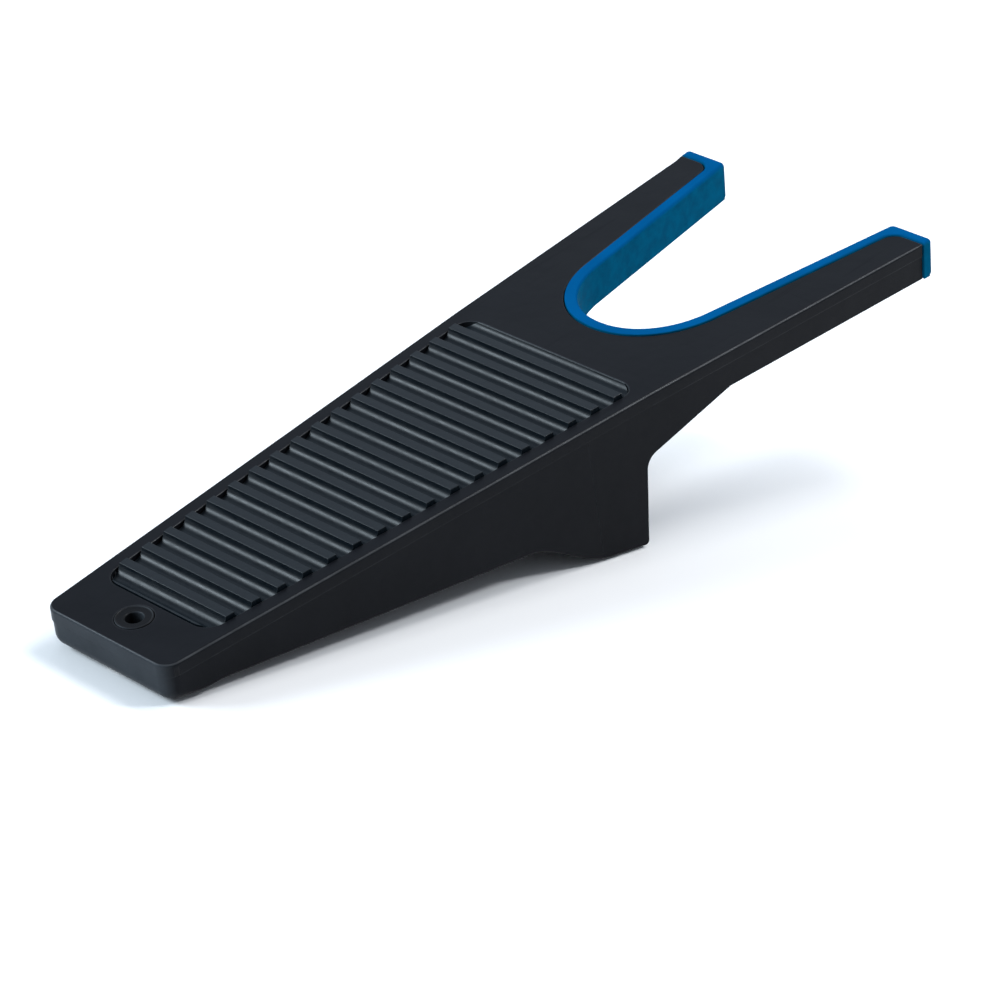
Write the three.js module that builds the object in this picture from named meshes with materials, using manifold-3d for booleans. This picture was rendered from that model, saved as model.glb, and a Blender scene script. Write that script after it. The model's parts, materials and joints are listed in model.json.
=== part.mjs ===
/*
 * Boot jack: a wedge-shaped moulded body with a forked end, a soft liner round the fork's jaw,
 * a ribbed tread mat, a hanging eyelet and four push-in rubber feet.
 *
 * Units are millimetres. In the world frame +Y runs from the heel end to the fork, +X is the right
 * side when looking that way and +Z is up. The origin is on the floor, in the middle of the footprint.
 *
 * Most of it is drawn in the deck frame, which is the world frame tipped by DECK_ANGLE: x runs across,
 * y runs along the deck from the heel end and z is the height over the deck's flat top.
 */
import * as THREE from 'three';
import { mergeVertices } from 'three/addons/utils/BufferGeometryUtils.js';
import Module from 'manifold-3d';

// ---- Driving dimensions ----

const DECK_ANGLE = THREE.MathUtils.degToRad(12.4);

const body = {
  length: 342.4,
  heelHalfWidth: 28.7,
  flare: 0.0816, // growth of the half width per millimetre of length
  heelCornerRadius: 5.8,
  deckThickness: 5, // height of the plain band round the top edge
  stepInset: 0.25, // the skirt under that band sits this far in
  webInset: 0.35, // and behind the foot it sits this far in
  wall: 3,
  deckFloor: 3.5, // thickness of the deck where nothing is let into it
  heelDepth: 15.5,
  heelEdgeRadius: 5.2,
};

const skirt = {
  startY: 21, // the lower edge runs straight from here to the foot
  endY: 150,
  endDepth: 35.9,
  endPull: 12, // how far the curve into the foot keeps the edge's direction
};

const foot = {
  frontY: 186,
  backY: 203.9,
  backTopY: 205.6,
  filletRadius: 5.5,
  frontPull: 13.5, // how far before the foot its front curve runs level with the floor
};

const fork = {
  bendY: 209, // the fork droops slightly from here on
  droop: THREE.MathUtils.degToRad(0.8),
  prongDepth: 14.6,
  rootY: 246, // the underside runs down from here to the top of the foot's back face
  rootDepth: 25.2,
};

const jaw = {
  bottomY: 228.7,
  sideStartY: 259.8, // the straight sides start here
  sideStartX: 31,
  sideSlope: 0.15,
  roundness: 0.5523, // pull of the round end's curve, as for a quarter ellipse
  tipCornerRadius: 6,
};

const liner = {
  thickness: 5,
  proud: 0.5, // height over the deck
  capProud: 0.4, // the end caps stand this far out of the prongs' sides
  capLength: 5, // how far it reaches past the prongs
  gap: 0.3,
  outerCornerRadius: 1.8,
  innerCornerRadius: 2.4,
  keyDepth: 2,
  keyTop: -6.4,
  keyHeight: 2.6,
  keyEndMargin: 12, // the key stops this far before the prongs' ends
};

const tread = {
  startY: 22.3,
  endY: 208.2,
  firstRibY: 29.7,
  ribCount: 17,
  pitch: 10.5,
  ribTop: 3.6, // length of a rib's flat top
  ribHeight: 1.5, // over the deck; the channels' round walls have their axes at this height
  rimHeight: 0.2, // height of the mat's rim over the deck
  sideMargin: 6.2, // from the body's edge to the end of a rib
  nearCornerRadius: 7,
  farCornerRadius: 6.5,
  matBottom: -4.7,
  gap: 0.3,
  pegRadius: 2,
  pegLength: 4.5,
  pegRows: [45, 115, 185],
  pegMargin: 16.5, // from the body's edge to a peg's axis
};

const eyelet = {
  y: 13.2,
  holeRadius: 3,
  flangeRadius: 6.4,
  flangeHeight: 0.3, // over the deck, in a recess that is as wide as the flange
  flangeThickness: 0.8,
  sleeveRadius: 4.3,
  sleeveDepth: 5,
  mouthChamfer: 0.5,
  rimChamfer: 0.3,
  gap: 0.3,
};

const rubberFoot = {
  padRadius: 5.4,
  padHeight: 2.7,
  stemRadius: 2.3,
  stemLength: 7,
  proud: 1, // the body is held this far off the floor
  gap: 0.3,
  bossRadius: 7.6,
  bossTop: 14, // height of the boss's top over the floor
  heelX: 17,
  heelY: 12,
  footX: 34,
  footY: 195,
};

const underRibs = {
  thickness: 2.4,
  laneX: 12.5,
  pitch: 34,
  edgeInset: 3, // they stop this far above the skirt's lower edge
};

const CURVE_STEPS = 20; // segments in each half of the jaw's round end
const OVERLAP = 0.5; // how far a solid that is joined on reaches into the other one
const FAR = 400; // larger than the object in every direction

// ---- Values that follow ----

const halfWidth = (y) => body.heelHalfWidth + body.flare * y;
const fullLength = body.length + liner.capLength;
const keyEnd = body.length - liner.keyEndMargin;
const deckTop = (y) => -Math.max(0, y - fork.bendY) * Math.tan(fork.droop);

// The body touches the plane under it on the round lower edge of its heel end.
const contactY = body.heelEdgeRadius * (1 - Math.sin(DECK_ANGLE));
const contactZ = -body.heelDepth + body.heelEdgeRadius * (1 - Math.cos(DECK_ANGLE));
const groundUnderBody = (y) => contactZ - (y - contactY) * Math.tan(DECK_ANGLE);

// ---- Solids ----

const wasm = await Module();
wasm.setup();

function solidOf(geometry) {
  const bare = geometry.clone();
  bare.deleteAttribute('normal');
  bare.deleteAttribute('uv');
  const merged = mergeVertices(bare, 1e-4);
  return new wasm.Manifold(new wasm.Mesh({
    numProp: 3,
    vertProperties: new Float32Array(merged.attributes.position.array),
    triVerts: new Uint32Array(merged.index.array),
  }));
}

function geometryOf(solid) {
  const { vertProperties, triVerts } = solid.getMesh();
  const geometry = new THREE.BufferGeometry();
  geometry.setAttribute('position', new THREE.BufferAttribute(new Float32Array(vertProperties), 3));
  geometry.setIndex(new THREE.BufferAttribute(new Uint32Array(triVerts), 1));
  geometry.computeVertexNormals();
  return geometry;
}

/** A flat outline in the deck's plane, extruded from height low to height high. */
function planPrism(shape, low, high) {
  const geometry = new THREE.ExtrudeGeometry(shape, {
    depth: high - low, bevelEnabled: false, curveSegments: 10, steps: 1,
  });
  return solidOf(geometry.translate(0, 0, low));
}

/** An outline drawn in the (y, z) plane, extruded across the object from x = left to x = right. */
function sidePrism(shape, left = -FAR / 2, right = FAR / 2) {
  const geometry = new THREE.ExtrudeGeometry(shape, {
    depth: right - left, bevelEnabled: false, curveSegments: 10, steps: 1,
  });
  const across = new THREE.Matrix4().makeBasis(
    new THREE.Vector3(0, 1, 0), new THREE.Vector3(0, 0, 1), new THREE.Vector3(1, 0, 0),
  );
  return solidOf(geometry.translate(0, 0, left).applyMatrix4(across));
}

function box(low, high) {
  const size = high.map((value, i) => value - low[i]);
  const middle = high.map((value, i) => (value + low[i]) / 2);
  return solidOf(new THREE.BoxGeometry(...size).translate(...middle));
}

/** A body turned about its own upright axis; the profile is a closed list of [radius, height]. */
function turned(profile, segments = 32) {
  const points = profile.map(([radius, height]) => new THREE.Vector2(radius, height));
  return solidOf(new THREE.LatheGeometry(points, segments));
}

/** An upright cylinder. */
const post = (x, y, radius, low, high) => turned([[0, low], [radius, low], [radius, high], [0, high]])
  .rotate([90, 0, 0]).translate([x, y, 0]);

/** Corners given as [x, y, radius] become a closed outline with round corners. */
function roundedShape(corners) {
  const shape = new THREE.Shape();
  corners.forEach(([x, y, radius = 0], i) => {
    const corner = new THREE.Vector2(x, y);
    if (radius === 0) {
      if (i === 0) shape.moveTo(x, y);
      else shape.lineTo(x, y);
      return;
    }
    const previous = corners.at(i - 1);
    const next = corners[(i + 1) % corners.length];
    const before = new THREE.Vector2(previous[0], previous[1]).sub(corner).normalize();
    const after = new THREE.Vector2(next[0], next[1]).sub(corner).normalize();
    const half = before.angleTo(after) / 2;
    const reach = radius / Math.tan(half);
    const inwards = before.clone().add(after).normalize();
    const centre = corner.clone().addScaledVector(inwards, radius / Math.sin(half));
    const start = corner.clone().addScaledVector(before, reach).sub(centre);
    const end = corner.clone().addScaledVector(after, reach).sub(centre);
    const first = start.clone().add(centre);
    if (i === 0) shape.moveTo(first.x, first.y);
    else shape.lineTo(first.x, first.y);
    shape.absarc(centre.x, centre.y, radius, start.angle(), end.angle(), start.cross(end) < 0);
  });
  return shape;
}

// ---- Outlines ----

/** The tapered outline of the deck, drawn in by inset, from the heel end to y = end. */
function wedge(inset, end, tipRadius = 0) {
  const near = halfWidth(inset) - inset;
  const far = halfWidth(end) - inset;
  const heelRadius = Math.max(body.heelCornerRadius - inset, 1);
  return roundedShape([
    [-near, inset, heelRadius], [near, inset, heelRadius], [far, end, tipRadius], [-far, end, tipRadius],
  ]);
}

/** The right half of the jaw's edge, from its deepest point to y = end, moved outwards by grow. */
function jawEdge(grow, end) {
  const { bottomY, sideStartX, sideStartY, sideSlope, roundness } = jaw;
  const pull = roundness * (sideStartY - bottomY);
  const round = new THREE.CubicBezierCurve(
    new THREE.Vector2(0, bottomY),
    new THREE.Vector2(roundness * sideStartX, bottomY),
    new THREE.Vector2(sideStartX - sideSlope * pull, sideStartY - pull),
    new THREE.Vector2(sideStartX, sideStartY),
  );
  const points = [];
  for (let i = 0; i <= CURVE_STEPS; i += 1) {
    const t = i / CURVE_STEPS;
    const along = round.getTangent(t);
    points.push(round.getPoint(t).add(new THREE.Vector2(along.y, -along.x).multiplyScalar(grow)));
  }
  const last = points.at(-1);
  points.push(new THREE.Vector2(last.x + sideSlope * (end - last.y), end));
  return points;
}

/** What the jaw takes away: the round-ended gap, and everything past the prongs' ends. */
function jawVoid(grow, end, tipRadius) {
  const right = jawEdge(grow, end);
  const tip = right.pop();
  const side = (sign) => right.map((point) => [sign * point.x, point.y]);
  return roundedShape([
    ...side(-1).reverse().slice(0, -1), ...side(1),
    [tip.x, end, tipRadius], [FAR / 2, end], [FAR / 2, FAR + end], [-FAR / 2, FAR + end], [-FAR / 2, end],
    [-tip.x, end, tipRadius],
  ]);
}

/** The body seen from the side: a flat deck, a deepening skirt, the foot and the slim fork. */
function sideProfile() {
  const shape = new THREE.Shape();
  const floorSlope = Math.tan(DECK_ANGLE);
  const skirtSlope = (skirt.endDepth - body.heelDepth) / (skirt.endY - skirt.startY);
  const frontZ = groundUnderBody(foot.frontY);
  const { heelEdgeRadius: r, heelDepth } = body;
  const beyond = fullLength + 1;
  shape.moveTo(-1, 0);
  shape.lineTo(-1, -heelDepth + r);
  shape.lineTo(0, -heelDepth + r);
  shape.absarc(r, -heelDepth + r, r, Math.PI, Math.PI * 1.5, false);
  shape.lineTo(skirt.startY, -heelDepth);
  shape.lineTo(skirt.endY, -skirt.endDepth);
  shape.bezierCurveTo(
    skirt.endY + skirt.endPull, -skirt.endDepth - skirt.endPull * skirtSlope,
    foot.frontY - foot.frontPull, frontZ + foot.frontPull * floorSlope,
    foot.frontY, frontZ,
  );
  shape.lineTo(foot.backY, groundUnderBody(foot.backY));
  const rootTop = new THREE.Vector2(fork.rootY, deckTop(fork.rootY) - fork.prongDepth);
  const rootCorner = new THREE.Vector2(foot.backTopY, -fork.rootDepth);
  const filletEnd = rootCorner.clone().lerp(rootTop, foot.filletRadius / rootCorner.distanceTo(rootTop));
  shape.lineTo(rootCorner.x, rootCorner.y - foot.filletRadius);
  shape.quadraticCurveTo(rootCorner.x, rootCorner.y, filletEnd.x, filletEnd.y);
  shape.lineTo(rootTop.x, rootTop.y);
  shape.lineTo(beyond, deckTop(beyond) - fork.prongDepth);
  shape.lineTo(beyond, deckTop(beyond));
  shape.lineTo(fork.bendY, 0);
  return shape;
}

/** A slice of the object between two heights that follow the deck's top, droop included. */
function deckLayer(low, high) {
  const end = fullLength + 1;
  return sidePrism(roundedShape([
    [-1, low], [fork.bendY, low], [end, deckTop(end) + low],
    [end, deckTop(end) + high], [fork.bendY, high], [-1, high],
  ]));
}

function treadOutline(grow) {
  const half = (y) => halfWidth(y) - tread.sideMargin + grow;
  const near = tread.startY - grow;
  const far = tread.endY + grow;
  const { nearCornerRadius, farCornerRadius } = tread;
  return roundedShape([
    [-half(near), near, nearCornerRadius], [half(near), near, nearCornerRadius],
    [half(far), far, farCornerRadius], [-half(far), far, farCornerRadius],
  ]);
}

/** Ribs and half-round channels in turn, seen from the side. */
function treadProfile() {
  const { startY, endY, firstRibY, pitch, ribCount, ribTop, ribHeight, rimHeight, matBottom } = tread;
  const overlap = 1; // the outline that trims the mat cuts this much off each end
  const radius = (pitch - ribTop) / 2;
  const rimAngle = Math.asin((ribHeight - rimHeight) / radius); // where a channel's wall meets the rim
  const shape = new THREE.Shape();
  shape.moveTo(startY - overlap, matBottom);
  shape.lineTo(endY + overlap, matBottom);
  shape.lineTo(endY + overlap, rimHeight);
  for (let i = ribCount; i >= 0; i -= 1) {
    const middle = firstRibY + i * pitch - radius;
    const start = i === ribCount ? rimAngle : 0;
    const end = i === 0 ? Math.PI - rimAngle : Math.PI;
    shape.lineTo(middle + radius * Math.cos(start), ribHeight - radius * Math.sin(start));
    shape.absarc(middle, ribHeight, radius, -start, -end, true);
    if (i > 0) {
      shape.lineTo(middle - radius - ribTop, ribHeight);
    }
  }
  shape.lineTo(startY - overlap, rimHeight);
  return shape;
}

// ---- Sub-parts ----

const deckFrame = new THREE.Group();
deckFrame.rotation.x = DECK_ANGLE;
const lift = rubberFoot.proud - (contactZ * Math.cos(DECK_ANGLE) + contactY * Math.sin(DECK_ANGLE));
deckFrame.position.z = lift;
deckFrame.updateMatrix();

/** A solid made upright in the world frame, as the deck frame sees it. */
const toDeck = deckFrame.matrix.clone().invert();
const inDeckFrame = (solid) => solid.transform(toDeck.elements);

const pegPlaces = [];
for (const y of tread.pegRows) {
  for (const side of [-1, 1]) pegPlaces.push([side * (halfWidth(y) - tread.pegMargin), y]);
}

// The rubber feet stand upright, so their places are in the world frame.
const footPlaces = [];
for (const [x, y, z] of [
  [rubberFoot.heelX, rubberFoot.heelY, -body.heelDepth],
  [rubberFoot.footX, rubberFoot.footY, groundUnderBody(rubberFoot.footY)],
]) {
  const place = new THREE.Vector3(x, y, z).applyMatrix4(deckFrame.matrix);
  for (const side of [-1, 1]) footPlaces.push([side * place.x, place.y]);
}

/** A stud on the floor at (x, y) of the world frame, its pad and stem made larger by grow. */
function stud(x, y, grow) {
  const { padRadius, padHeight, stemRadius, stemLength } = rubberFoot;
  const bottom = grow > 0 ? -FAR : 0;
  return turned([
    [0, bottom], [padRadius + grow, bottom], [padRadius + grow, padHeight + grow],
    [stemRadius + grow, padHeight + grow], [stemRadius + grow, padHeight + stemLength + grow],
    [0, padHeight + stemLength + grow],
  ]).rotate([90, 0, 0]).translate([x, y, 0]);
}

/** The hollow's ribs: two along the body, and rungs across it. Their edges run into its walls. */
function stiffeners() {
  const { thickness, laneX, pitch, edgeInset } = underRibs;
  let ribs = box([laneX - thickness / 2, 0, -FAR], [laneX + thickness / 2, FAR, 0]);
  ribs = ribs.add(box([-laneX - thickness / 2, 0, -FAR], [-laneX + thickness / 2, FAR, 0]));
  for (let y = pitch; y < foot.frontY; y += pitch) {
    ribs = ribs.add(box([-FAR / 2, y - thickness / 2, -FAR], [FAR / 2, y + thickness / 2, 0]));
  }
  const halfWall = body.wall / 2;
  const belly = sidePrism(sideProfile()).translate([0, 0, edgeInset]);
  return ribs.intersect(belly)
    .intersect(planPrism(wedge(halfWall + body.webInset, body.length), -FAR, -halfWall))
    .subtract(planPrism(jawVoid(halfWall, body.length, 0), -FAR, FAR));
}

function bodyShell() {
  const { deckThickness, stepInset, webInset, wall, deckFloor } = body;
  const end = body.length + 1;
  const front = box([-FAR / 2, -1, -FAR], [FAR / 2, foot.backY, 1]);
  const behind = box([-FAR / 2, foot.backY, -FAR], [FAR / 2, FAR, 1]);
  const band = planPrism(wedge(0, end), -FAR, 1).intersect(deckLayer(-deckThickness, 1));
  const skirtFront = planPrism(wedge(stepInset, end), -FAR, 1).intersect(front);
  const skirtBehind = planPrism(wedge(webInset, end), -FAR, 1).intersect(behind);
  const under = sidePrism(sideProfile());
  const outer = band.add(skirtFront).add(skirtBehind).intersect(under)
    .subtract(planPrism(jawVoid(0, body.length, jaw.tipCornerRadius), -FAR, FAR));

  const inset = stepInset + wall;
  const prongEnd = body.length - wall;
  const hollowPlan = planPrism(wedge(inset, prongEnd, 1), -FAR, FAR)
    .subtract(planPrism(jawVoid(liner.keyDepth + wall, prongEnd, 1), -FAR, FAR));
  const floorUnderTread = planPrism(treadOutline(wall), tread.matBottom - tread.gap - deckFloor, FAR);
  const hollow = hollowPlan.intersect(deckLayer(-FAR, -deckFloor)).subtract(floorUnderTread)
    .subtract(footShell());
  let solid = outer.subtract(hollow).add(stiffeners());

  const { bossRadius, bossTop, footX } = rubberFoot;
  for (const [x, y] of footPlaces) {
    const boss = inDeckFrame(post(x, y, bossRadius, rubberFoot.proud, bossTop));
    const seat = Math.abs(x) === footX ? boss.intersect(under) : boss;
    solid = solid.add(seat).subtract(inDeckFrame(stud(x, y, rubberFoot.gap)));
  }
  for (const [x, y] of pegPlaces) solid = solid.subtract(post(x, y, tread.pegRadius + tread.gap, -FAR, 0));
  solid = solid.subtract(planPrism(treadOutline(tread.gap), tread.matBottom - tread.gap, FAR));
  const recessFloor = eyelet.flangeHeight - eyelet.flangeThickness - eyelet.gap;
  solid = solid.subtract(post(0, eyelet.y, eyelet.sleeveRadius + eyelet.gap, -FAR, FAR))
    .subtract(post(0, eyelet.y, eyelet.flangeRadius + eyelet.gap, recessFloor, FAR));

  const key = planPrism(jawVoid(OVERLAP, body.length, 0), -FAR, FAR)
    .subtract(planPrism(jawVoid(-liner.keyDepth, FAR, 0), -FAR, FAR))
    .intersect(box([-FAR / 2, 0, -FAR], [FAR / 2, keyEnd, FAR]))
    .intersect(deckLayer(liner.keyTop - liner.keyHeight, liner.keyTop));
  return solid.add(key);
}

/** The walls of the foot: what is left between its front and back faces and the hollow in it. */
function footShell() {
  const { wall } = body;
  const shape = new THREE.Shape();
  shape.moveTo(foot.backY - wall, -FAR);
  shape.lineTo(foot.backTopY - wall, -fork.rootDepth);
  shape.lineTo(foot.backTopY - wall, -body.deckFloor + 1);
  shape.lineTo(foot.backTopY, -body.deckFloor + 1);
  shape.lineTo(foot.backTopY, -FAR);
  return sidePrism(shape);
}

function jawLiner() {
  const { thickness, proud, capProud, gap, keyDepth, keyTop, keyHeight } = liner;
  const prongs = planPrism(wedge(-capProud, fullLength, liner.outerCornerRadius), -FAR / 2, FAR / 2);
  const seat = planPrism(jawVoid(-gap, body.length + gap, jaw.tipCornerRadius), -FAR, FAR);
  const mouth = planPrism(jawVoid(-thickness, fullLength, liner.innerCornerRadius), -FAR, FAR);
  const groove = planPrism(jawVoid(OVERLAP, body.length, 0), -FAR, FAR)
    .subtract(planPrism(jawVoid(-keyDepth - gap, FAR, 0), -FAR, FAR))
    .intersect(box([-FAR / 2, 0, -FAR], [FAR / 2, keyEnd + gap, FAR]))
    .intersect(deckLayer(keyTop - keyHeight - gap, keyTop + gap));
  return prongs.intersect(seat).subtract(mouth)
    .intersect(deckLayer(-fork.prongDepth, proud)).subtract(groove);
}

function treadMat() {
  let mat = planPrism(treadOutline(0), -FAR, FAR).intersect(sidePrism(treadProfile()));
  const { pegRadius, pegLength, matBottom } = tread;
  for (const [x, y] of pegPlaces) {
    mat = mat.add(post(x, y, pegRadius, matBottom - pegLength, matBottom + OVERLAP));
  }
  return mat;
}

function hangEyelet() {
  const {
    holeRadius, flangeRadius, flangeHeight, flangeThickness,
    sleeveRadius, sleeveDepth, mouthChamfer, rimChamfer,
  } = eyelet;
  const underside = flangeHeight - flangeThickness;
  return turned([
    [holeRadius, -sleeveDepth], [sleeveRadius, -sleeveDepth],
    [sleeveRadius, underside], [flangeRadius, underside], [flangeRadius, flangeHeight - rimChamfer],
    [flangeRadius - rimChamfer, flangeHeight], [holeRadius + mouthChamfer, flangeHeight],
    [holeRadius, flangeHeight - mouthChamfer], [holeRadius, -sleeveDepth],
  ], 40).rotate([90, 0, 0]).translate([0, eyelet.y, 0]);
}

// ---- Assembly ----

const finish = (color, roughness) => new THREE.MeshStandardMaterial({ color, roughness, metalness: 0 });
const finishes = {
  blackPlastic: finish(0x1d1f22, 0.45),
  blueRubber: finish(0x0062af, 0.6),
  slateRubber: finish(0x262e36, 0.6),
  footRubber: finish(0x1a1a1a, 0.85),
};

function meshOf(name, solid, material) {
  const mesh = new THREE.Mesh(geometryOf(solid), material);
  mesh.name = name;
  return mesh;
}

deckFrame.add(
  meshOf('body_shell', bodyShell(), finishes.blackPlastic),
  meshOf('jaw_liner', jawLiner(), finishes.blueRubber),
  meshOf('tread_mat', treadMat(), finishes.slateRubber),
  meshOf('hang_eyelet', hangEyelet(), finishes.blackPlastic),
);

const bootJack = new THREE.Group();
bootJack.add(deckFrame);
const footNames = ['heel_foot_left', 'heel_foot_right', 'front_foot_left', 'front_foot_right'];
footPlaces.forEach(([x, y], i) => {
  bootJack.add(meshOf(footNames[i], stud(x, y, 0), finishes.footRubber));
});

// The origin goes to the middle of the footprint.
bootJack.updateMatrixWorld(true);
const bounds = new THREE.Box3().setFromObject(bootJack, true);
for (const child of bootJack.children) child.position.y -= (bounds.min.y + bounds.max.y) / 2;

export default bootJack;
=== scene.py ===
"""A boot jack: a black moulded wedge with a forked end, a blue liner round the jaw and a ribbed tread.

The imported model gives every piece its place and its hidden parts. Each visible piece is its node's
solid, trimmed by finer solids made here, which give it round edges and smooth curves.

Lengths are millimetres in the deck frame until a piece is finished, and metres in the world after
that. The deck frame is the world frame tipped by DECK_ANGLE: x runs across, y along the deck from
the heel end, and z is the height over the deck's flat top.
"""
import json
import math

import bmesh
import bpy
from mathutils import Euler, Matrix, Vector


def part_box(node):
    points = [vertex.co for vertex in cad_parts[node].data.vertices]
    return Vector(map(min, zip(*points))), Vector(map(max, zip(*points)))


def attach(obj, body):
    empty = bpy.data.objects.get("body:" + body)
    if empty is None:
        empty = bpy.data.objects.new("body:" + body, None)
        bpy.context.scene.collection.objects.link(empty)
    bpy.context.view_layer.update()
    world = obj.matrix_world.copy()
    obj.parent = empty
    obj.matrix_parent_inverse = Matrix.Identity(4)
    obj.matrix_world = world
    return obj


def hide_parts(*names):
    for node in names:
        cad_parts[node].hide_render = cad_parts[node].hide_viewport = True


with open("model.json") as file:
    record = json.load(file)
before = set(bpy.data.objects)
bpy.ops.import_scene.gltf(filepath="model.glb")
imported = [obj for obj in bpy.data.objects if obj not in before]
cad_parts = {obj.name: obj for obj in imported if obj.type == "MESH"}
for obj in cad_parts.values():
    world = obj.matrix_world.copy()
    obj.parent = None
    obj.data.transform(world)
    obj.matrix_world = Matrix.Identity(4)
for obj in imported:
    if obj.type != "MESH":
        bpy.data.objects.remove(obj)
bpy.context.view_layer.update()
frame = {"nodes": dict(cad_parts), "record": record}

MM = 0.001
FAR = 400  # larger than the object in every direction
PAST = 5  # a cutting solid reaches at least this far past what it cuts
CLOSE = 1  # a point this near to an edge belongs to that edge
WELD = 0.001  # points closer than this are one point
TRIM = 0.04  # the finer solids lie this far inside the node's surface
NESTED = 0.02  # and this far inside each other, where two of them would share a face
SMOOTH = math.radians(28)  # edges blunter than this are shaded smooth

# ---- Dimensions of the design ----

DECK_ANGLE = math.radians(12.4)
LENGTH = 342.4
HEEL_HALF_WIDTH = 28.7
FLARE = 0.0816
HEEL_CORNER_RADIUS = 5.8
BAND_HEIGHT = 5
STEP_INSET = 0.35  # under the band; the node has 0.25 in places and 0.35 in others
HEEL_DEPTH = 15.5
HEEL_EDGE_RADIUS = 5.2
HEEL_FADE_START_Y = 1  # along the flanks, the heel's low edge turns from round to fine from here on
HEEL_FADE_LENGTH = 15
HEEL_FLANK_Y = range(8, 29, 2)  # where the flanks have points for that
HEEL_SOLID_END_Y = 19  # from here on the heel's finer solid cuts nothing

SKIRT_START_Y = 21
SKIRT_END = (150, -35.9)
SKIRT_END_PULL = 12
FOOT_FRONT_Y = 186
FOOT_FRONT_PULL = 13.5
FOOT_BACK_Y = 203.9
FOOT_BACK_TOP_Y = 205.6
FOOT_FILLET_RADIUS = 5.5
FOOT_CORNER_RADIUS = 1.6
FORK_BEND_Y = 209
FORK_DROOP = math.radians(0.8)
PRONG_DEPTH = 14.6
PRONG_CORNER_RADIUS = 0.3
PRONG_FADE_LENGTH = 4  # the deck's round edge turns fine over this last stretch of each flank
FORK_ROOT_Y = 246
FORK_ROOT_DEPTH = 25.2

JAW_BOTTOM_Y = 228.7
JAW_SIDE_START = (31, 259.8)
JAW_SIDE_SLOPE = 0.15
JAW_ROUNDNESS = 0.5523
JAW_TIP_RADIUS = 6
LINER_THICKNESS = 5
LINER_PROUD = 0.5
LINER_CAP_PROUD = 0.4
LINER_CAP_LENGTH = 5
LINER_GAP = 0.3
LINER_INNER_RADIUS = 2.4
LINER_OUTER_RADIUS = 1.8
KEY_MARGIN = 1  # the node's key for the liner is kept whole from this far inside the body's edge
KEY_COVER = 1.5  # and from this far under the deck

POCKET_MARGIN = 5.9  # from the body's edge to the edge of the tread's pocket
TREAD_START_Y = 22.3
TREAD_END_Y = 208.2
TREAD_GAP = 0.3
TREAD_NEAR_RADIUS = 7
TREAD_FAR_RADIUS = 6.5
FIRST_RIB_Y = 29.7
RIB_COUNT = 17
RIB_PITCH = 10.5
RIB_TOP = 3.6
RIB_HEIGHT = 1.5
RIB_EDGE_ANGLE = 6  # degrees of a channel's wall that the ribs' round edges take up
RIM_HEIGHT = 0.2

EYELET_Y = 13.2
EYELET_HOLE_RADIUS = 3
EYELET_RIM_RADIUS = 6.4
EYELET_HEIGHT = 0.3
EYELET_FLANGE = 0.8
EYELET_SLEEVE_RADIUS = 4.3
EYELET_SLEEVE_DEPTH = 5
EYELET_MOUTH_RADIUS = 0.6
EYELET_DISH_DEPTH = 0.25

FOOT_PAD_RADIUS = 5.4
FOOT_PAD_HEIGHT = 2.7
FOOT_STEM_RADIUS = 2.3
FOOT_STEM_TIP_RADIUS = 0.8
FOOT_CUP = ((0, 0.5), (2.6, 0.5), (3.1, 0.35), (3.3, 0))  # (radius, height) under a foot's pad

FLANK_LINE = ((179, -5.4), (182.2, -52))  # a faint line on each flank, where the foot's face begins
FLANK_LINE_WIDTH = 0.3
FLANK_LINE_DEPTH = 0.08

# Radii of the fine edges.
RIM_EDGE_RADIUS = 1.0
JAW_EDGE_RADIUS = 0.35
PRONG_EDGE_RADIUS = 0.2
LOWER_EDGE_RADIUS = 0.7
BACK_EDGE_RADIUS = 0.4
LIP_RADIUS = 0.4
LINER_EDGE_RADIUS = 1.0
LINER_BODY_EDGE_RADIUS = 0.4
LINER_LOW_EDGE_RADIUS = 0.5
LINER_CAP_EDGE_RADIUS = 1.6
TREAD_EDGE_RADIUS = 0.35
RIB_EDGE_RADIUS = 0.25
FOOT_LOW_EDGE_RADIUS = 0.7
FOOT_TOP_EDGE_RADIUS = 0.4

SLOTS = {part["node"]: part["material_slot"] for part in frame["record"]["subparts"]}


def half_width(y):
    return HEEL_HALF_WIDTH + FLARE * y


def deck_to_world():
    """The deck frame's place, taken from the body: its heel face is y = 0 and its flat top is z = 0."""
    level = Matrix.Rotation(-DECK_ANGLE, 4, "X")
    points = [level @ v.co for v in frame["nodes"]["body_shell"].data.vertices]
    heel_y = min(p.y for p in points)
    top_z = max(p.z for p in points)
    return level.inverted() @ Matrix.Translation((0, heel_y, top_z)) @ Matrix.Scale(MM, 4)


DECK = deck_to_world()


# ---- Outlines ----

def arc(centre, radius, start, end, steps=12):
    """Points on an arc; the angles are in degrees."""
    points = []
    for i in range(steps + 1):
        angle = math.radians(start + (end - start) * i / steps)
        points.append((centre[0] + radius * math.cos(angle), centre[1] + radius * math.sin(angle)))
    return points


def outline(corners, steps=12):
    """Corners given as (u, v, radius) become a closed outline with round corners."""
    points = []
    for i, (u, v, *rest) in enumerate(corners):
        radius = rest[0] if rest else 0
        here = Vector((u, v))
        if radius == 0:
            points.append((u, v))
            continue
        before = (Vector(corners[i - 1][:2]) - here).normalized()
        after = (Vector(corners[(i + 1) % len(corners)][:2]) - here).normalized()
        half = before.angle(after) / 2
        centre = here + (before + after).normalized() * (radius / math.sin(half))
        reach = radius / math.tan(half)
        start, end = here + before * reach - centre, here + after * reach - centre
        turn = math.copysign(math.pi - 2 * half, start.x * end.y - start.y * end.x)
        for k in range(steps + 1):
            angle = turn * k / steps
            cos, sin = math.cos(angle), math.sin(angle)
            points.append((centre.x + start.x * cos - start.y * sin,
                           centre.y + start.x * sin + start.y * cos))
    return points


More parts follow.
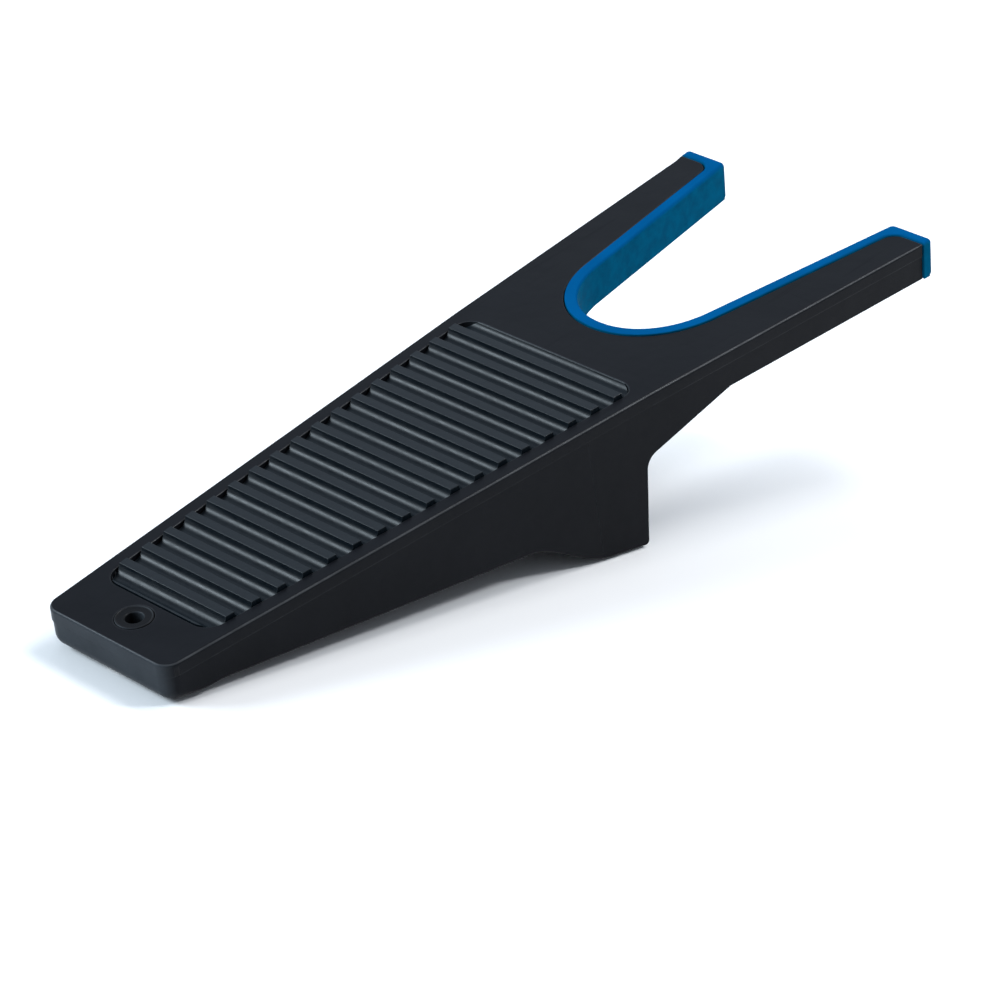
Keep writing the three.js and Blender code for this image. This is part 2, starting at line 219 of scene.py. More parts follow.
def on_curve(knots, t):
    """The point at t, from 0 to 1, of a cubic curve with four knots."""
    s = 1 - t
    return s**3 * knots[0] + 3 * s * s * t * knots[1] + 3 * s * t * t * knots[2] + t**3 * knots[3]


def counterclockwise(loop):
    area = sum(a[0] * b[1] - b[0] * a[1] for a, b in zip(loop, loop[1:] + loop[:1]))
    return loop if area > 0 else loop[::-1]


def inward_shifts(loop):
    """For each point of a counterclockwise loop, the shift that moves its two sides inwards by one.

    At corners much sharper than a right angle the shift is held back.
    """
    shifts = []
    for i, here in enumerate(loop):
        before = (Vector(here) - Vector(loop[i - 1])).normalized()
        after = (Vector(loop[(i + 1) % len(loop)]) - Vector(here)).normalized()
        first, second = Vector((-before.y, before.x)), Vector((-after.y, after.x))
        middle = first + second
        shifts.append(middle * (2 / max(middle.length_squared, 0.4)))
    return shifts


def trimmed(loop):
    """The loop drawn in by the trim."""
    loop = counterclockwise(loop)
    shifts = inward_shifts(loop)
    return [(u + TRIM * shift.x, v + TRIM * shift.y) for (u, v), shift in zip(loop, shifts)]


def jaw_edge(grow, end, steps=28):
    """The right half of the jaw's edge, from its deepest point to y = end, moved outwards by grow."""
    side_x, side_y = JAW_SIDE_START
    pull = JAW_ROUNDNESS * (side_y - JAW_BOTTOM_Y)
    knots = [Vector((0, JAW_BOTTOM_Y)), Vector((JAW_ROUNDNESS * side_x, JAW_BOTTOM_Y)),
             Vector((side_x - JAW_SIDE_SLOPE * pull, side_y - pull)), Vector((side_x, side_y))]
    points = []
    for i in range(steps + 1):
        t = i / steps
        s = 1 - t
        along = s * s * (knots[1] - knots[0]) + 2 * s * t * (knots[2] - knots[1])
        along += t * t * (knots[3] - knots[2])
        along.normalize()
        points.append(on_curve(knots, t) + grow * Vector((along.y, -along.x)))
    last = points[-1]
    points.append(Vector((last.x + JAW_SIDE_SLOPE * (end - last.y), end)))
    return points


def heel_outline():
    """The heel end seen from above, with points along its flanks where the low edge's radius fades."""
    inset = STEP_INSET + TRIM + NESTED
    radius = HEEL_CORNER_RADIUS - inset
    near = half_width(inset) - inset
    right = [(half_width(y) - inset, y) for y in HEEL_FLANK_Y]
    left = [(-x, y) for x, y in reversed(right)]
    return outline([(-near, inset, radius), (near, inset, radius), *right, *left])


def deck_outline():
    """The deck seen from above: round heel corners, flared sides, and the jaw between two prongs."""
    end = LENGTH - TRIM
    last = end - PRONG_FADE_LENGTH
    near_x, last_x, end_x = (half_width(y) - TRIM for y in (TRIM, last, end))
    heel_radius = HEEL_CORNER_RADIUS - TRIM
    jaw = jaw_edge(TRIM, end)
    tip = jaw.pop()
    jaw_points = [(p.x, p.y) for p in reversed(jaw)] + [(-p.x, p.y) for p in jaw[1:]]
    return outline([
        (-near_x, TRIM, heel_radius), (near_x, TRIM, heel_radius),
        (last_x, last), (end_x, end, PRONG_CORNER_RADIUS),
        (tip.x, end, JAW_TIP_RADIUS), *jaw_points, (-tip.x, end, JAW_TIP_RADIUS),
        (-end_x, end, PRONG_CORNER_RADIUS), (-last_x, last),
    ])


def liner_outline():
    """The liner seen from above: the jaw's edge, and a cap round each prong's end."""
    end, cap_start = LENGTH + LINER_CAP_LENGTH, LENGTH + LINER_GAP
    far, root = half_width(end) + LINER_CAP_PROUD, half_width(cap_start) + LINER_CAP_PROUD
    inner, outer = jaw_edge(-LINER_THICKNESS, end), jaw_edge(-LINER_GAP, cap_start)
    inner_tip, outer_tip = inner.pop(), outer.pop()
    right = [(p.x, p.y) for p in inner]
    right += [(inner_tip.x, end, LINER_INNER_RADIUS), (far, end, LINER_OUTER_RADIUS), (root, cap_start)]
    right += [(outer_tip.x, cap_start, JAW_TIP_RADIUS)] + [(p.x, p.y) for p in reversed(outer)]
    left = [(-point[0], *point[1:]) for point in reversed(right[1:-1])]
    return outline(right + left)


def pocket_outline(grow):
    """The tread's outline, moved outwards by grow."""
    near, far = TREAD_START_Y - grow, TREAD_END_Y + grow
    margin = POCKET_MARGIN + TREAD_GAP - grow
    near_x, far_x = half_width(near) - margin, half_width(far) - margin
    return outline([(-near_x, near, TREAD_NEAR_RADIUS + grow), (near_x, near, TREAD_NEAR_RADIUS + grow),
                    (far_x, far, TREAD_FAR_RADIUS + grow), (-far_x, far, TREAD_FAR_RADIUS + grow)])


def floor_height(y):
    """Height of the plane under the body, level in the world, at y in the deck frame."""
    contact_y = HEEL_EDGE_RADIUS * (1 - math.sin(DECK_ANGLE))
    contact_z = -HEEL_DEPTH + HEEL_EDGE_RADIUS * (1 - math.cos(DECK_ANGLE))
    return contact_z - (y - contact_y) * math.tan(DECK_ANGLE)


def skirt_curve(steps=16):
    """The lower edge from the heel end to the front of the foot."""
    skirt_slope = (SKIRT_END[1] + HEEL_DEPTH) / (SKIRT_END[0] - SKIRT_START_Y)
    floor_slope = -math.tan(DECK_ANGLE)
    front = Vector((FOOT_FRONT_Y, floor_height(FOOT_FRONT_Y)))
    start = Vector(SKIRT_END)
    knots = [start, start + SKIRT_END_PULL * Vector((1, skirt_slope)),
             front - FOOT_FRONT_PULL * Vector((1, floor_slope)), front]
    points = [(-2 * PAST, -HEEL_DEPTH), (SKIRT_START_Y, -HEEL_DEPTH)]
    for i in range(steps + 1):
        place = on_curve(knots, i / steps)
        points.append((place.x, place.y))
    return points


def foot_outline():
    """The heel end and the foot seen from the side."""
    corner = (FOOT_BACK_Y, floor_height(FOOT_BACK_Y), FOOT_CORNER_RADIUS)
    return trimmed(outline([*skirt_curve(), corner, (FOOT_BACK_Y, FAR), (-2 * PAST, FAR)]))


def side_outline():
    """The whole body seen from the side."""
    end = LENGTH + 2 * PAST
    root_top = (FORK_ROOT_Y, -PRONG_DEPTH - (FORK_ROOT_Y - FORK_BEND_Y) * math.tan(FORK_DROOP))
    prong_end = (end, -PRONG_DEPTH - (end - FORK_BEND_Y) * math.tan(FORK_DROOP))
    return trimmed(outline([
        *skirt_curve(), (FOOT_BACK_Y, floor_height(FOOT_BACK_Y), FOOT_CORNER_RADIUS),
        (FOOT_BACK_TOP_Y, -FORK_ROOT_DEPTH, FOOT_FILLET_RADIUS), root_top, prong_end,
        (end, FAR), (-2 * PAST, FAR),
    ]))


def rib_outline():
    """Ribs and half-round channels in turn, seen from the side."""
    radius = (RIB_PITCH - RIB_TOP) / 2
    rim_angle = math.degrees(math.asin((RIB_HEIGHT - RIM_HEIGHT) / radius))
    rim, top = RIM_HEIGHT - TRIM, RIB_HEIGHT - TRIM
    before, after = TREAD_START_Y - PAST, TREAD_END_Y + PAST
    points = [(before, -FAR), (after, -FAR), (after, rim)]
    for i in range(RIB_COUNT, -1, -1):
        middle = FIRST_RIB_Y + i * RIB_PITCH - radius
        start = -rim_angle if i == RIB_COUNT else -RIB_EDGE_ANGLE
        end = rim_angle - 180 if i == 0 else RIB_EDGE_ANGLE - 180
        points += arc((middle, RIB_HEIGHT), radius + TRIM, start, end, steps=24)
        if i > 0:
            far, near = middle - radius - TRIM, middle - radius - RIB_TOP + TRIM
            points += [(far, top, RIB_EDGE_RADIUS), (near, top, RIB_EDGE_RADIUS)]
    points.append((before, rim))
    return outline(points, steps=5)


# ---- Solids ----

def rounded_prism(loop, low, high, low_radius=None, high_radius=None, sideways=False, steps=5):
    """A prism between two caps, with a round edge round each cap that has a radius.

    low and high give a cap's height over a point of the loop, and the radii may differ from point
    to point. A sideways prism is drawn in (y, z) and runs across the object.
    """
    loop = counterclockwise(loop)
    shifts = inward_shifts(loop)

    def ring(height, radius, sign, angle):
        points = []
        for (u, v), shift in zip(loop, shifts):
            r = radius(u, v) if radius else 0
            inset = r * (1 - math.cos(angle))
            a, b = u + shift.x * inset, v + shift.y * inset
            w = height(a, b) - sign * r * (1 - math.sin(angle))
            points.append((w, a, b) if sideways else (a, b, w))
        return points

    angles = [math.pi / 2 * i / steps for i in range(steps + 1)]
    rings = [ring(low, low_radius, -1, a) for a in reversed(angles if low_radius else angles[:1])]
    rings += [ring(high, high_radius, 1, a) for a in (angles if high_radius else angles[:1])]
    return lofted(rings)


def lofted(rings):
    """A closed solid through rings that all have the same number of points."""
    solid = bmesh.new()
    rows = [[solid.verts.new(p) for p in points] for points in rings]
    count = len(rings[0])
    for lower, upper in zip(rows, rows[1:]):
        for i in range(count):
            k = (i + 1) % count
            solid.faces.new((lower[i], lower[k], upper[k], upper[i]))
    solid.faces.new(rows[0][::-1])
    solid.faces.new(rows[-1])
    bmesh.ops.recalc_face_normals(solid, faces=solid.faces)
    return solid


def turned(profile, segments=96):
    """A solid turned about the upright axis.

    Its profile, in (radius, height), closes on itself, or starts and ends on the axis.
    """
    solid = bmesh.new()
    columns = []
    for i in range(segments):
        angle = 2 * math.pi * i / segments
        across, along = math.cos(angle), math.sin(angle)
        columns.append([solid.verts.new((r * across, r * along, z)) for r, z in profile])
    count = len(profile) if profile[0][0] else len(profile) - 1
    for here, there in zip(columns, columns[1:] + columns[:1]):
        for i in range(count):
            k = (i + 1) % len(profile)
            solid.faces.new((here[i], there[i], there[k], here[k]))
    bmesh.ops.remove_doubles(solid, verts=solid.verts, dist=WELD)
    bmesh.ops.recalc_face_normals(solid, faces=solid.faces)
    return solid


def constant(value):
    """A height or a radius that is the same at every point of a loop."""
    return lambda u, v: value


def drooped(solid):
    """Bends the solid down from the fork's bend onwards, as the deck does."""
    geometry = solid.verts[:] + solid.edges[:] + solid.faces[:]
    bmesh.ops.bisect_plane(solid, geom=geometry, dist=1e-4, plane_co=(0, FORK_BEND_Y, 0),
                           plane_no=(0, 1, 0))
    for vertex in solid.verts:
        vertex.co.z -= max(0, vertex.co.y - FORK_BEND_Y) * math.tan(FORK_DROOP)
    return solid


def block(low_y, low_z):
    """Everything from low_y and low_z on."""
    loop = [(-FAR, low_y), (FAR, low_y), (FAR, FAR), (-FAR, FAR)]
    return rounded_prism(loop, constant(low_z), constant(FAR))


def above_step():
    """Everything above the step under the band."""
    return block(-4 * PAST, -BAND_HEIGHT)


def node_solid(node):
    """A copy of the node's solid in the deck frame."""
    solid = bmesh.new()
    solid.from_mesh(frame["nodes"][node].data)
    solid.transform(DECK.inverted())
    bmesh.ops.remove_doubles(solid, verts=solid.verts, dist=WELD)
    return solid


def as_object(solid, name="scratch"):
    mesh = bpy.data.meshes.new(name)
    solid.to_mesh(mesh)
    solid.free()
    piece = bpy.data.objects.new(name, mesh)
    bpy.context.scene.collection.objects.link(piece)
    return piece


def combine(first, second, operation):
    """The union, intersection or difference of two solids."""
    base, tool = as_object(first), as_object(second)
    modifier = base.modifiers.new("cut", "BOOLEAN")
    modifier.operation = operation
    modifier.solver = "MANIFOLD"
    modifier.object = tool
    result = bmesh.new()
    result.from_object(base, bpy.context.evaluated_depsgraph_get())
    for scratch in (base, tool):
        mesh = scratch.data
        bpy.data.objects.remove(scratch)
        bpy.data.meshes.remove(mesh)
    return result


def finish_piece(solid, name, node, place=DECK):
    """The solid becomes a shown piece that stands for its node, in the finish of the node's slot.

    Points with only two edges go, since they leave slivers when the mesh is cut into triangles.
    """
    bmesh.ops.remove_doubles(solid, verts=solid.verts, dist=2 * WELD)
    bmesh.ops.dissolve_degenerate(solid, edges=solid.edges, dist=WELD)
    spare = [vertex for vertex in solid.verts if len(vertex.link_edges) == 2]
    bmesh.ops.dissolve_verts(solid, verts=spare)
    solid.transform(place)
    piece = as_object(solid, name)
    mesh = piece.data
    mesh.shade_smooth()
    mesh.set_sharp_from_angle(angle=SMOOTH)
    mesh.materials.append(FINISHES[SLOTS[node]])
    shading = piece.modifiers.new("even_shading", "WEIGHTED_NORMAL")
    shading.keep_sharp = True
    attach(piece, "root")
    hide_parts(node)
    return piece


# ---- Pieces ----

def pocket_lip(steps=5):
    """What the body loses round the tread's pocket: a flare whose wall curves over into the deck."""
    rings = []
    for i in range(steps + 1):
        angle = math.pi / 2 * i / steps
        grow = TREAD_GAP + TRIM + LIP_RADIUS * (1 - math.cos(angle))
        height = -TRIM - LIP_RADIUS * (1 - math.sin(angle))
        rings.append([(x, y, height) for x, y in counterclockwise(pocket_outline(grow))])
    below = [(x, y, -2) for x, y, _ in rings[0]]  # still over the pocket's floor
    above = [(x, y, 1) for x, y, _ in rings[-1]]
    return lofted([below, *rings, above])


def flank_line(side):
    """A thin slanted groove in the right flank, or in the left one where side is -1."""
    (top_y, top_z), (low_y, low_z) = FLANK_LINE
    width = FLANK_LINE_WIDTH
    loop = [(top_y, top_z), (low_y, low_z), (low_y + width, low_z), (top_y + width, top_z)]

    def bottom(y, z):
        return side * (half_width(y) - STEP_INSET - TRIM - FLANK_LINE_DEPTH)

    def outside(y, z):
        return side * (half_width(y) + PAST)

    low, high = (bottom, outside) if side > 0 else (outside, bottom)
    return rounded_prism(loop, low, high, sideways=True)


def jaw_plug():
    """The jaw and a little round it, from just under the deck down: there the node's key stays whole.

    It ends a little higher than the deck's solid does, so that the two don't share a face.
    """
    half = [(p.x, p.y) for p in jaw_edge(KEY_MARGIN, LENGTH - TRIM)]
    loop = half + [(-x, y) for x, y in reversed(half[1:])]
    return rounded_prism(loop, constant(-FAR + 1), constant(-KEY_COVER))


def body_piece():
    """The body's node, cut by four solids: the deck, what is under its band, the heel and the lip."""
    def walls(inset):
        """The left and the right flank, drawn in by inset."""
        return (lambda y, z: -half_width(y) + inset + TRIM), (lambda y, z: half_width(y) - inset - TRIM)

    def rim_radius(x, y):
        if y > LENGTH - CLOSE:
            return PRONG_EDGE_RADIUS
        in_jaw = y > JAW_BOTTOM_Y - CLOSE and abs(x) < half_width(y) - CLOSE
        return JAW_EDGE_RADIUS if in_jaw else RIM_EDGE_RADIUS

    def lower_radius(y, z):
        on_back = y > FOOT_BACK_Y - CLOSE and z > floor_height(y) + 2 * CLOSE
        return BACK_EDGE_RADIUS if on_back else LOWER_EDGE_RADIUS

    def heel_radius(x, y):
        blend = min(1, max(0, (y - HEEL_FADE_START_Y) / HEEL_FADE_LENGTH))
        change = LOWER_EDGE_RADIUS - HEEL_EDGE_RADIUS
        return HEEL_EDGE_RADIUS + change * blend * blend * (3 - 2 * blend)

    deck = rounded_prism(deck_outline(), constant(-FAR), constant(-TRIM), high_radius=rim_radius)
    deck = drooped(combine(deck, jaw_plug(), "UNION"))

    low, high = walls(STEP_INSET)
    skirt = rounded_prism(foot_outline(), low, high, lower_radius, lower_radius, sideways=True)
    low, high = walls(STEP_INSET + NESTED)
    web = rounded_prism(side_outline(), low, high, lower_radius, lower_radius, sideways=True)
    under = combine(skirt, web, "UNION")
    under = combine(under, drooped(above_step()), "UNION")

    heel = rounded_prism(heel_outline(), constant(-HEEL_DEPTH + TRIM), constant(FAR),
                         low_radius=heel_radius, steps=9)
    heel = combine(heel, block(HEEL_SOLID_END_Y, -FAR), "UNION")
    heel = combine(heel, above_step(), "UNION")

    solid = node_solid("body_shell")
    for envelope in (deck, under, heel):
        solid = combine(solid, envelope, "INTERSECT")
    for groove in (pocket_lip(), flank_line(-1), flank_line(1)):
        solid = combine(solid, groove, "DIFFERENCE")
    return finish_piece(solid, "body", "body_shell")


def liner_piece():
    """The liner's node, with round edges: broad ones round the caps and fine ones against the body."""
    against_body = [(p.x, p.y) for p in jaw_edge(-LINER_GAP, LENGTH - JAW_TIP_RADIUS)]

    def top_radius(x, y):
        if y > LENGTH:
            return LINER_CAP_EDGE_RADIUS
        inside = min(math.dist((abs(x), y), p) for p in against_body) > CLOSE
        return LINER_EDGE_RADIUS if inside else LINER_BODY_EDGE_RADIUS

    def low_radius(x, y):
        at_end = y > LENGTH + LINER_CAP_LENGTH - LINER_OUTER_RADIUS
        return LINER_CAP_EDGE_RADIUS if at_end else LINER_LOW_EDGE_RADIUS

    shape = rounded_prism(trimmed(liner_outline()), constant(-PRONG_DEPTH + TRIM),
                          constant(LINER_PROUD - TRIM), low_radius, top_radius)
    solid = combine(node_solid("jaw_liner"), drooped(shape), "INTERSECT")
    return finish_piece(solid, "liner", "jaw_liner")


def tread_piece():
    """The tread's node, with smooth channels and round edges."""
    ribs = rounded_prism(rib_outline(), constant(-FAR), constant(FAR), sideways=True)
    edge = rounded_prism(pocket_outline(-TRIM), constant(-FAR), constant(RIB_HEIGHT),
                         high_radius=constant(TREAD_EDGE_RADIUS))
    solid = combine(node_solid("tread_mat"), ribs, "INTERSECT")
    solid = combine(solid, edge, "INTERSECT")
    return finish_piece(solid, "tread", "tread_mat")


def eyelet_piece():
    """A sleeve with a thin flange: a bead runs round its rim, and its mouth is rounded."""
    hole, sleeve, rim = EYELET_HOLE_RADIUS + TRIM, EYELET_SLEEVE_RADIUS - TRIM, EYELET_RIM_RADIUS - TRIM
    bottom, under = -EYELET_SLEEVE_DEPTH + TRIM, EYELET_HEIGHT - EYELET_FLANGE + TRIM
    top = EYELET_HEIGHT - TRIM
    bead = (top - under) * 0.45  # the flange's edge is almost a half circle
    mouth = EYELET_MOUTH_RADIUS
    dish = top - EYELET_DISH_DEPTH
    profile = [(hole, bottom), (sleeve, bottom), (sleeve, under), (rim - bead, under)]
    profile += arc((rim - bead, under + bead), bead, -90, 0, 5)
    profile += arc((rim - bead, top - bead), bead, 0, 90, 5)
    profile += [(rim - 2 * bead, dish + 0.08), (rim - 2.6 * bead, dish)]  # down into the dish
    profile += arc((hole + mouth, dish - mouth), mouth, 90, 180, 8)
    place = DECK @ Matrix.Translation((0, EYELET_Y, 0))
    return finish_piece(turned(profile), "eyelet", "hang_eyelet", place)


def foot_piece(node):
    """A push-in stud: a round pad with a soft edge and a shallow cup under it, on a blunt stem."""
    lowest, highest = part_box(node)
    middle = (lowest + highest) / 2
    pad, stem = FOOT_PAD_RADIUS - TRIM, FOOT_STEM_RADIUS - TRIM
    top = (highest.z - lowest.z) / MM - TRIM
    pad_top = FOOT_PAD_HEIGHT - TRIM
    profile = list(FOOT_CUP)
    radius = FOOT_LOW_EDGE_RADIUS
    profile += arc((pad - radius, radius), radius, -90, 0, 6)
    radius = FOOT_TOP_EDGE_RADIUS
    profile += arc((pad - radius, pad_top - radius), radius, 0, 90, 4)
    profile.append((stem, pad_top))
    radius = FOOT_STEM_TIP_RADIUS
    profile += arc((stem - radius, top - radius), radius, 0, 90, 5)
    profile.append((0, top))
    place = Matrix.Translation((middle.x, middle.y, lowest.z)) @ Matrix.Scale(MM, 4)
    return finish_piece(turned(profile), node + "_stud", node, place)


# ---- Materials ----

class Finish:
    """A material whose nodes vary it over the surface. Noise scales are in repeats per metre."""

    def __init__(self, name, specular):
        self.material = bpy.data.materials.new(name)
        self.material.use_nodes = True
        self.tree = self.material.node_tree
        self.shader = self.tree.nodes["Principled BSDF"]
        self.shader.inputs["Specular IOR Level"].default_value = specular
        self.shader.inputs["IOR"].default_value = 1.5
        self.geometry = self.node("ShaderNodeNewGeometry")
        place = self.node("ShaderNodeTexCoord").outputs["Object"]
        inputs = {"Vector": place, "Angle": -DECK_ANGLE}
        level = self.node("ShaderNodeVectorRotate", inputs, rotation_type="X_AXIS")
        self.place = level.outputs["Vector"]

    def node(self, kind, inputs=(), **settings):
        """Adds a node. An input is a number, a colour or the output of another node."""
        node = self.tree.nodes.new(kind)
        for name, value in settings.items():
            setattr(node, name, value)
        for key, value in dict(inputs).items():
            self.give(node.inputs[key], value)
        return node

    def give(self, socket, value):
        if isinstance(value, bpy.types.NodeSocket):
            self.tree.links.new(value, socket)
        else:
            socket.default_value = value

    def noise(self, scale, detail=2.0, roughness=0.5, stretch=(1, 1, 1)):
        """Noise about 0.5; a stretch under 1 draws it out along the deck's x, y or z."""
        place = self.node("ShaderNodeMapping", {"Vector": self.place, "Scale": stretch})
        inputs = {"Vector": place.outputs["Vector"], "Scale": scale, "Detail": detail,
                  "Roughness": roughness}
        return self.node("ShaderNodeTexNoise", inputs).outputs["Fac"]

    def ramp(self, value, start, end, low=0.0, high=1.0):
        """low up to start, high from end on, and a straight line between them."""
        inputs = {"Value": value, "From Min": start, "From Max": end, "To Min": low, "To Max": high}
        return self.node("ShaderNodeMapRange", inputs).outputs["Result"]

    def product(self, first, second):
        return self.math("MULTIPLY", first, second)

    def math(self, operation, first, second):
        return self.node("ShaderNodeMath", {0: first, 1: second}, operation=operation).outputs["Value"]

    def mixed(self, share, first, second):
        """first where share is 0, second where it is 1."""
        mix = self.node("ShaderNodeMix", data_type="RGBA")
        sockets = [socket for socket in mix.inputs if socket.enabled]
        for socket, value in zip(sockets, (share, first, second)):
            self.give(socket, value)
        return next(output for output in mix.outputs if output.enabled)

    def edges(self, radius):
        """1 along the convex and concave edges, 0 on flat stretches."""
        rounded = self.node("ShaderNodeBevel", {"Radius": radius}, samples=6).outputs["Normal"]
        inputs = {0: rounded, 1: self.geometry.outputs["Normal"]}
        same = self.node("ShaderNodeVectorMath", inputs, operation="DOT_PRODUCT").outputs["Value"]
        return self.ramp(same, 0.995, 0.9)

    def facing(self, axis, start, end):
        """0 where the surface's normal is start along the world's axis, 1 where it is end."""
        axes = self.node("ShaderNodeSeparateXYZ", {"Vector": self.geometry.outputs["Normal"]})
        return self.ramp(axes.outputs[axis], start, end)

    def surface(self, color, roughness, *reliefs):
        """Sets the colour, the roughness and the reliefs.

        Each relief is a height pattern and its depth in metres.
        """
        self.give(self.shader.inputs["Base Color"], color)
        self.give(self.shader.inputs["Roughness"], roughness)
        normal = None
        for height, depth in reliefs:
            inputs = {"Height": height, "Strength": 1.0, "Distance": depth}
            if normal:
                inputs["Normal"] = normal
            normal = self.node("ShaderNodeBump", inputs).outputs["Normal"]
        self.give(self.shader.inputs["Normal"], normal)
        return self.material


def moulded_plastic(name, deep, light, gloss, slope_highlight):
    """Satin black plastic: faint flow clouds, fine grain, hairline scuffs; edges lighter, part rubbed,
    part painted highlight.

    It carries a painted highlight halfway round the deck's rounded edges, whose strength the last
    argument sets, and a painted reflection where it faces the heel end.
    """
    finish = Finish(name, specular=0.055)
    clouds = finish.noise(34, detail=3)
    grain = finish.noise(1900, detail=1)
    scuffs = finish.ramp(finish.noise(420, detail=3, stretch=(1, 0.05, 1)), 0.62, 0.74)
    strokes = finish.ramp(finish.noise(360, detail=2, stretch=(0.06, 1, 1)), 0.66, 0.76)
    patches = finish.ramp(finish.noise(150), 0.3, 0.65, 0.35, 1)
    # The edges are lighter, partly as rubbed wear and partly as a painted highlight along them.
    edge_rub_and_highlight = finish.product(finish.edges(0.0007), patches)
    color = finish.mixed(finish.ramp(clouds, 0.35, 0.65), (*deep, 1), (*light, 1))
    color = finish.mixed(finish.product(edge_rub_and_highlight, 0.5), color, (0.05, 0.053, 0.058, 1))
    # Painted highlight: where the normal is halfway between up and sideways, round the deck's rounded
    # edges, the colour is lighter, as a highlight would make it.
    sloping = finish.product(finish.facing("Z", 0.3, 0.55), finish.facing("Z", 0.92, 0.8))
    patches = finish.ramp(finish.noise(150), 0.3, 0.65, 0.6 * slope_highlight, slope_highlight)
    painted_edge_highlight = finish.product(sloping, patches)
    color = finish.mixed(painted_edge_highlight, color, (0.045, 0.048, 0.052, 1))
    # Painted reflection: faces that look towards the heel end are lighter, standing in for the bright
    # floor they reflect.
    patches = finish.ramp(finish.noise(90, detail=3), 0.25, 0.75, 0.75, 1)
    painted_heel_reflection = finish.product(finish.facing("Y", -0.4, -0.9), patches)
    color = finish.mixed(painted_heel_reflection, color, (0.031, 0.036, 0.042, 1))
    roughness = finish.ramp(clouds, 0.3, 0.7, gloss - 0.035, gloss + 0.045)
    roughness = finish.math("ADD", roughness, finish.product(scuffs, 0.09))
    roughness = finish.math("ADD", roughness, finish.product(strokes, 0.06))
    roughness = finish.math("SUBTRACT", roughness, finish.product(edge_rub_and_highlight, 0.07))
    roughness = finish.math("SUBTRACT", roughness, finish.product(painted_edge_highlight, 0.12))
    return finish.surface(color, roughness, (clouds, 0.0004), (scuffs, -0.000006), (grain, 0.000014))


def ribbed_rubber(name):
    """The tread: slate elastomer, slightly mottled, with fine draw lines along its ribs."""
    finish = Finish(name, specular=0.18)
    mottle = finish.noise(260, detail=3, roughness=0.55)
    drawn = finish.noise(900, detail=2, stretch=(0.03, 1, 1))
    grain = finish.noise(2100, detail=1)
    worn = finish.product(finish.edges(0.0004), finish.ramp(mottle, 0.35, 0.65, 0.3, 1))
    deep, light = (0.0018, 0.0042, 0.0068, 1), (0.0038, 0.0068, 0.0098, 1)
    color = finish.mixed(finish.ramp(mottle, 0.3, 0.7), deep, light)
    color = finish.mixed(finish.product(worn, 0.35), color, (0.05, 0.06, 0.068, 1))
    roughness = finish.ramp(mottle, 0.3, 0.7, 0.31, 0.41)
    roughness = finish.math("ADD", roughness, finish.ramp(drawn, 0.3, 0.7, -0.03, 0.03))
    return finish.surface(color, roughness, (mottle, 0.00005), (drawn, 0.00001), (grain, 0.000012))


def lining_rubber(name):
    """The liner: saturated blue elastomer, mottled, with painted shade that makes its upright faces
    darker and greener than its top.
    """
    finish = Finish(name, specular=0.004)
    mottle = finish.noise(210, detail=4, roughness=0.6)
    patches = finish.noise(48, detail=2)
    grain = finish.noise(1500, detail=2)
    deep, light = (0.0, 0.058, 0.172, 1), (0.0, 0.066, 0.196, 1)
    top = finish.mixed(finish.ramp(patches, 0.35, 0.65), deep, light)
    # Painted shade: the upright faces get a darker, greener blue than the top.
    deep, light = (0.0, 0.057, 0.116, 1), (0.0, 0.077, 0.156, 1)
    wall = finish.mixed(finish.ramp(mottle, 0.35, 0.65), deep, light)
    color = finish.mixed(finish.facing("Z", 0.15, 0.8), wall, top)
    roughness = finish.ramp(mottle, 0.3, 0.7, 0.52, 0.68)
    return finish.surface(color, roughness, (mottle, 0.00006), (grain, 0.00002))


def foot_rubber(name):
    """Dull black rubber, dusty in its pores."""
    finish = Finish(name, specular=0.25)
    pores = finish.noise(700, detail=3, roughness=0.6)
    dust = finish.ramp(finish.noise(240, detail=2), 0.45, 0.7, 0, 0.35)
    color = finish.mixed(dust, (0.010, 0.010, 0.011, 1), (0.06, 0.058, 0.054, 1))
    roughness = finish.ramp(pores, 0.3, 0.7, 0.72, 0.9)
    return finish.surface(color, roughness, (pores, 0.00005))


def floor_paint(name):
    """A matt, pale grey paint."""
    finish = Finish(name, specular=0.1)
    cloud = finish.noise(5, detail=2)
    color = finish.mixed(cloud, (0.86, 0.86, 0.86, 1), (0.89, 0.89, 0.89, 1))
    roughness = finish.ramp(cloud, 0.3, 0.7, 0.85, 0.95)
    return finish.surface(color, roughness, (finish.noise(400), 0.00003))


FINISHES = {
    "black_plastic": moulded_plastic(
        "black_plastic", (0.0038, 0.0044, 0.0060), (0.0052, 0.0059, 0.0078), gloss=0.34, slope_highlight=1),
    "eyelet_plastic": moulded_plastic(
        "eyelet_plastic", (0.0040, 0.0044, 0.0054), (0.0058, 0.0063, 0.0074), gloss=0.4, slope_highlight=0.25),
    "slate_rubber": ribbed_rubber("slate_rubber"),
    "blue_rubber": lining_rubber("blue_rubber"),
    "foot_rubber": foot_rubber("foot_rubber"),
}

body_piece()
liner_piece()
tread_piece()
eyelet_piece()
for foot_node in ("heel_foot_left", "heel_foot_right", "front_foot_left", "front_foot_right"):
    foot_piece(foot_node)


# ---- Stage ----

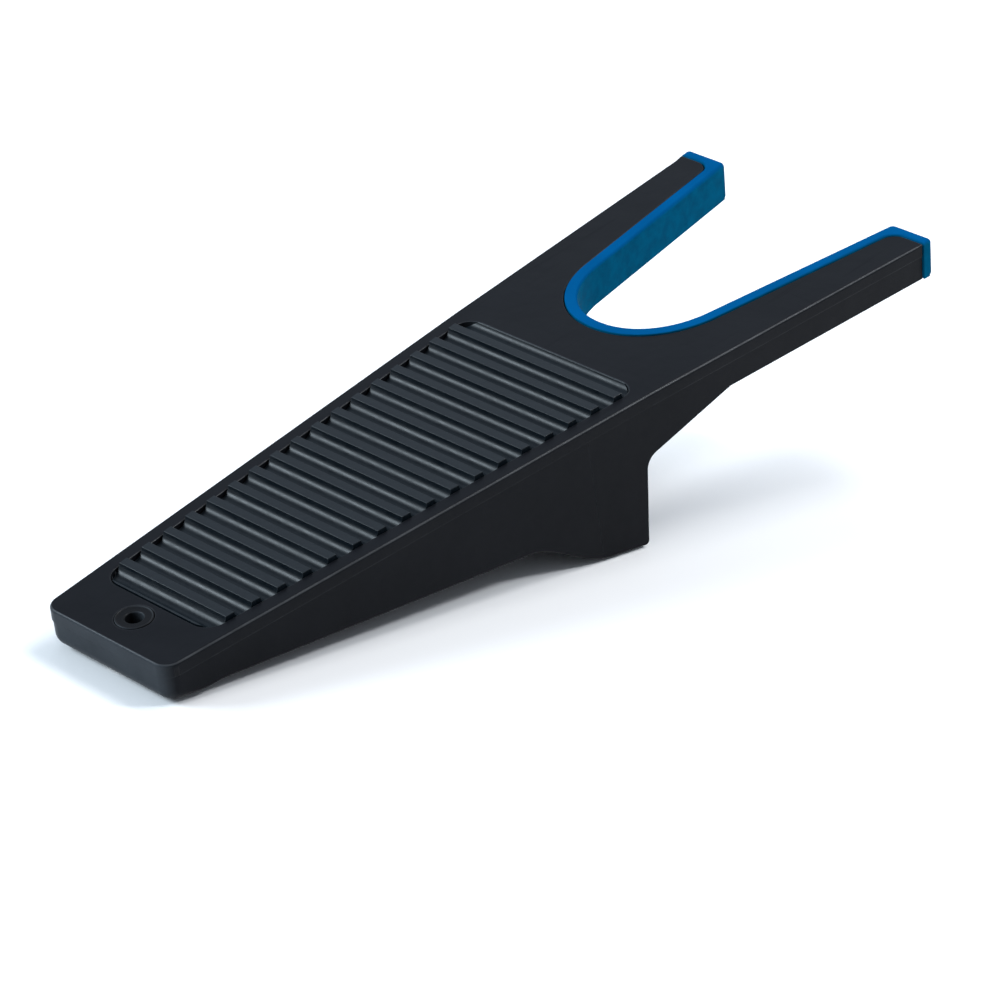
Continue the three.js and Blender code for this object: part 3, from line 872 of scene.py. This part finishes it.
def area_light(name, direction, distance, size, power, color=(1, 1, 1)):
    """A soft panel that faces the object from a direction."""
    light = bpy.data.lights.new(name, "AREA")
    light.shape = "RECTANGLE"
    light.size, light.size_y = size
    light.energy = power
    light.color = color
    lamp = bpy.data.objects.new(name, light)
    bpy.context.scene.collection.objects.link(lamp)
    towards = Vector(direction).normalized()
    lamp.location = towards * distance
    lamp.rotation_mode = "QUATERNION"
    lamp.rotation_quaternion = (-towards).to_track_quat("-Z", "Y")


def floor(reach=6):
    """A square floor that reaches this many metres each way."""
    mesh = bpy.data.meshes.new("floor")
    corners = [(-reach, -reach, 0), (reach, -reach, 0), (reach, reach, 0), (-reach, reach, 0)]
    mesh.from_pydata(corners, [], [(0, 1, 2, 3)])
    mesh.materials.append(floor_paint("floor_paint"))
    slab = bpy.data.objects.new("floor", mesh)
    bpy.context.scene.collection.objects.link(slab)


floor()
area_light("top_panel", (0.15, 0.35, 0.92), 1.6, (0.8, 0.5), 12)
area_light("rim_panel", (0.53, 0.43, 0.73), 1.8, (0.35, 0.25), 15, (0.92, 0.96, 1.0))
area_light("key_panel", (-0.6, -0.64, 0.48), 1.7, (1.0, 0.5), 33, (0.77, 0.90, 1.0))
area_light("back_panel", (-0.6, 0.446, 0.665), 2.0, (1.5, 1.5), 4.2, (0.72, 0.85, 1.0))
world = bpy.data.worlds.new("studio")
world.use_nodes = True
background = world.node_tree.nodes["Background"].inputs
background["Color"].default_value = (0.82, 0.89, 1.0, 1)
background["Strength"].default_value = 0.45
bpy.context.scene.world = world
bpy.context.scene.view_settings.view_transform = "Standard"

camera = bpy.data.cameras.new("camera")
camera.sensor_width = 36
camera.lens = 141.4
camera.clip_start, camera.clip_end = 0.05, 50
eye = bpy.data.objects.new("camera", camera)
bpy.context.scene.collection.objects.link(eye)
bpy.context.scene.camera = eye
AZIMUTH = math.radians(41.25)
ELEVATION = math.radians(24.56)
ROLL = math.radians(4.39)
DISTANCE = 1.3352
AIM = Vector((0.01326, -0.00359, 0.01896))
back = Vector((math.sin(AZIMUTH) * math.cos(ELEVATION), -math.cos(AZIMUTH) * math.cos(ELEVATION),
               math.sin(ELEVATION)))
eye.location = AIM + back * DISTANCE
eye.rotation_mode = "QUATERNION"
eye.rotation_quaternion = (-back).to_track_quat("-Z", "Y") @ Euler((0, 0, ROLL)).to_quaternion()
